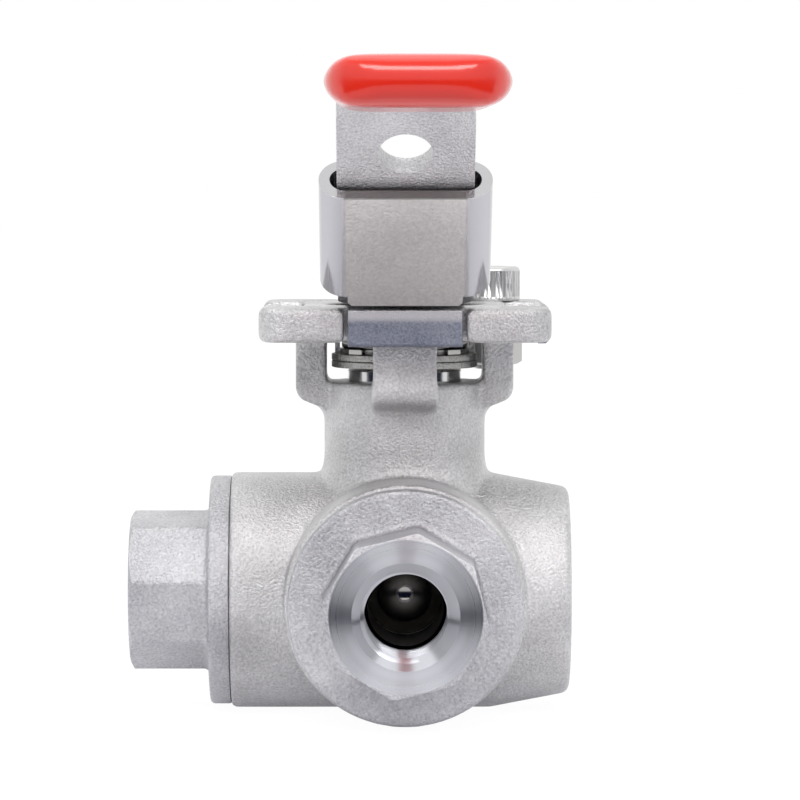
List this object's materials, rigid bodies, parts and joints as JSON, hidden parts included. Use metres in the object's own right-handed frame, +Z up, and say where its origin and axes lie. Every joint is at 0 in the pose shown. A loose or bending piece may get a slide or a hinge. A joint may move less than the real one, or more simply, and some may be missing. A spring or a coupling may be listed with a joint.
{
  "type": "three-way ball valve",
  "caption": "Three-way ball valve with screwed octagonal end caps, an L-port ball, a square mounting pad and a bent lever with a sliding padlock sleeve.",
  "frame": {"origin": "the point where the port axes meet the stem axis, which is the centre of the ball", "axes": "+Z up along the stem, -Y out of the front port and along the lever at rest, -X out of the left port, +X towards the closed end of the body"},
  "size_m": [0.063, 0.1562, 0.0919],
  "materials": {
    "blasted_casting": "investment cast stainless steel, bead blasted, fine grain",
    "turned_steel": "cast stainless steel, satin, with turned faces",
    "polished_steel": "stainless steel, ground and polished",
    "stem_steel": "stainless steel bar, turned",
    "ptfe": "PTFE, white, matt",
    "nitrile_rubber": "nitrile rubber, black",
    "spring_steel": "stainless spring steel, tumbled",
    "washer_steel": "pressed stainless sheet",
    "nut_steel": "stainless steel nut, satin",
    "lever_plate": "cast stainless plate, bead blasted",
    "lock_sheet": "stainless sheet, satin face and polished sides",
    "catch_steel": "stainless steel, fine blasted, blue-grey",
    "red_vinyl": "dipped vinyl, red, glossy",
    "screw_steel": "stainless steel screw, satin, knurled head"
  },
  "bodies": {
    "valve_body": {"body": "blasted_casting", "front_lock_catch": "catch_steel", "right_lock_catch": "catch_steel", "left_end_cap": "turned_steel", "front_end_cap": "turned_steel", "back_end_cap": "turned_steel", "left_cap_gasket": "ptfe", "front_cap_gasket": "ptfe", "back_cap_gasket": "ptfe", "left_seat": "ptfe", "front_seat": "ptfe", "back_seat": "ptfe", "right_seat": "ptfe", "stem_thrust_washer": "ptfe", "stem_packing": "ptfe", "gland_ring": "polished_steel", "stop_screw": "screw_steel", "stop_screw_nut": "screw_steel"},
    "stem_and_lever": {"ball": "polished_steel", "stem": "stem_steel", "stem_o_ring": "nitrile_rubber", "lower_disc_spring": "spring_steel", "upper_disc_spring": "spring_steel", "tab_washer": "washer_steel", "stem_nut": "nut_steel", "handle_lever": "lever_plate", "handle_grip": "red_vinyl", "handle_washer": "washer_steel", "handle_nut": "nut_steel"},
    "lock": {"lock_sleeve": "lock_sheet"}
  },
  "joints": [
    {"name": "handle_turn", "type": "hinge", "parent": "valve_body", "child": "stem_and_lever", "pos_m": [0, 0, 0], "axis": [0, 0, 1], "range_deg": [0, 90]},
    {"name": "lock_slide", "type": "slide", "parent": "stem_and_lever", "child": "lock", "axis": [0, -0.7071, 0.7071], "range_m": [-0.0018, 0.011]}
  ]
}
